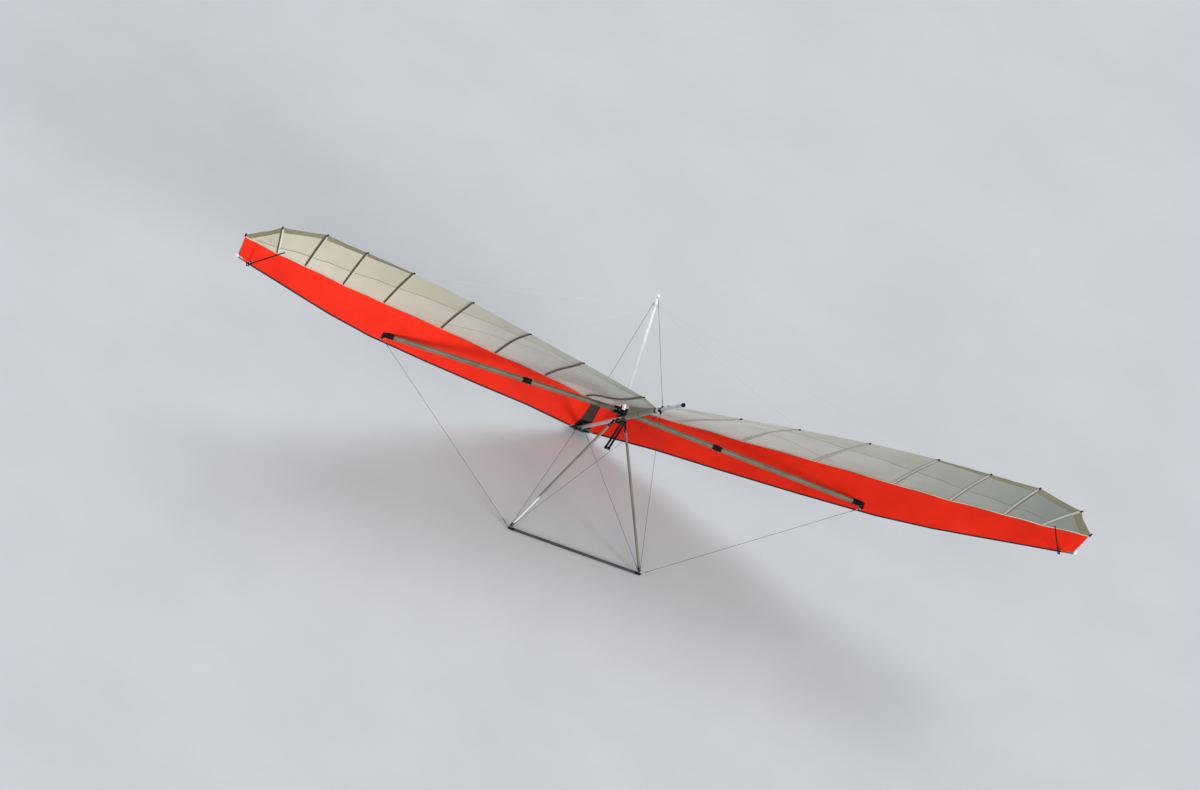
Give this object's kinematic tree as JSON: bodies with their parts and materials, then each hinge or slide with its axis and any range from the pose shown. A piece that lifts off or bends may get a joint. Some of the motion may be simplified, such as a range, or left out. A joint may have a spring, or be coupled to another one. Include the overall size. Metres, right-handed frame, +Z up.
{
  "type": "hang glider",
  "caption": "Two-seat kingposted hang glider with orange and cream sail, exposed crossbar, control frame, battens and wire stays, parked nose down.",
  "frame": {"origin": "on the floor under the middle of the base bar, where the parked glider rests on it", "axes": "+X to starboard along the span, +Y along the floor towards the nose, +Z up"},
  "size_m": [10.3002, 2.6348, 2.9434],
  "materials": {
    "airframe_tube": "weathered anodised tube, satin",
    "keel_tube": "bare drawn tube, satin",
    "black_fitting": "black moulded and anodised fittings, matt",
    "steel_fitting": "stainless steel, satin",
    "stay_cable": "stranded steel cable in a dark sleeve",
    "white_tube": "white painted tube, gloss",
    "sailcloth_cream": "woven polyester sailcloth, off-white",
    "sailcloth_orange": "woven polyester sailcloth, bright orange-red",
    "pocket_cloth": "woven polyester sailcloth, grey-white",
    "cone_cloth": "stiff dark laminated cloth",
    "webbing": "black nylon webbing",
    "tip_plug": "white moulded end cap"
  },
  "bodies": {
    "airframe": {"leading_edge_starboard": "airframe_tube", "leading_edge_port": "airframe_tube", "tip_cap_starboard": "tip_plug", "tip_cap_port": "tip_plug", "keel_tube": "keel_tube", "keel_end_cap": "black_fitting", "nose_bracket": "black_fitting", "crossbar_starboard": "airframe_tube", "crossbar_port": "airframe_tube", "crossbar_sleeve_starboard": "black_fitting", "crossbar_sleeve_port": "black_fitting", "crossbar_hinge": "black_fitting", "crossbar_end_starboard": "black_fitting", "crossbar_end_port": "black_fitting", "kingpost_foot": "black_fitting", "kingpost": "white_tube", "kingpost_cap": "steel_fitting", "downtube_starboard": "airframe_tube", "downtube_port": "airframe_tube", "apex_bracket": "black_fitting", "base_bar": "airframe_tube", "corner_bracket_starboard": "black_fitting", "corner_bracket_port": "black_fitting", "tail_bracket": "black_fitting", "sail_starboard": "sailcloth_cream", "sail_port": "sailcloth_cream", "lower_skin_starboard": "sailcloth_orange", "lower_skin_port": "sailcloth_orange", "keel_pocket": "pocket_cloth", "nose_cone": "cone_cloth", "strut_bracket_starboard": "black_fitting", "strut_bracket_port": "black_fitting", "front_stay_starboard": "stay_cable", "front_stay_port": "stay_cable", "rear_stay_starboard": "stay_cable", "rear_stay_port": "stay_cable", "side_stay_starboard": "stay_cable", "side_stay_port": "stay_cable", "upper_front_stay": "stay_cable", "upper_rear_stay": "stay_cable"},
    "hang_saddle": {"hang_saddle": "steel_fitting"},
    "strap_starboard": {"hang_strap_starboard": "webbing"},
    "strap_port": {"hang_strap_port": "webbing"},
    "washout_starboard": {"washout_strut_starboard": "black_fitting"},
    "washout_port": {"washout_strut_port": "black_fitting"}
  },
  "joints": [
    {"name": "saddle_roll", "type": "hinge", "parent": "airframe", "child": "hang_saddle", "pos_m": [0, 0.91387, 1.30494], "axis": [0, 0.6541, -0.7564], "range_deg": [-20, 20]},
    {"name": "strap_swing_starboard", "type": "hinge", "parent": "hang_saddle", "child": "strap_starboard", "pos_m": [0.018, 0.87756, 1.27355], "axis": [1, 0, 0], "range_deg": [-85, 5]},
    {"name": "strap_swing_port", "type": "hinge", "parent": "hang_saddle", "child": "strap_port", "pos_m": [-0.018, 0.87756, 1.27355], "axis": [1, 0, 0], "range_deg": [-85, 5]},
    {"name": "washout_fold_starboard", "type": "hinge", "parent": "airframe", "child": "washout_starboard", "pos_m": [4.936, 0.29306, 2.09014], "axis": [0.0995, 0.9381, 0.3318], "range_deg": [-88, 0]},
    {"name": "washout_fold_port", "type": "hinge", "parent": "airframe", "child": "washout_port", "pos_m": [-4.936, 0.29306, 2.09014], "axis": [0.0995, -0.9381, -0.3318], "range_deg": [-88, 0]}
  ]
}
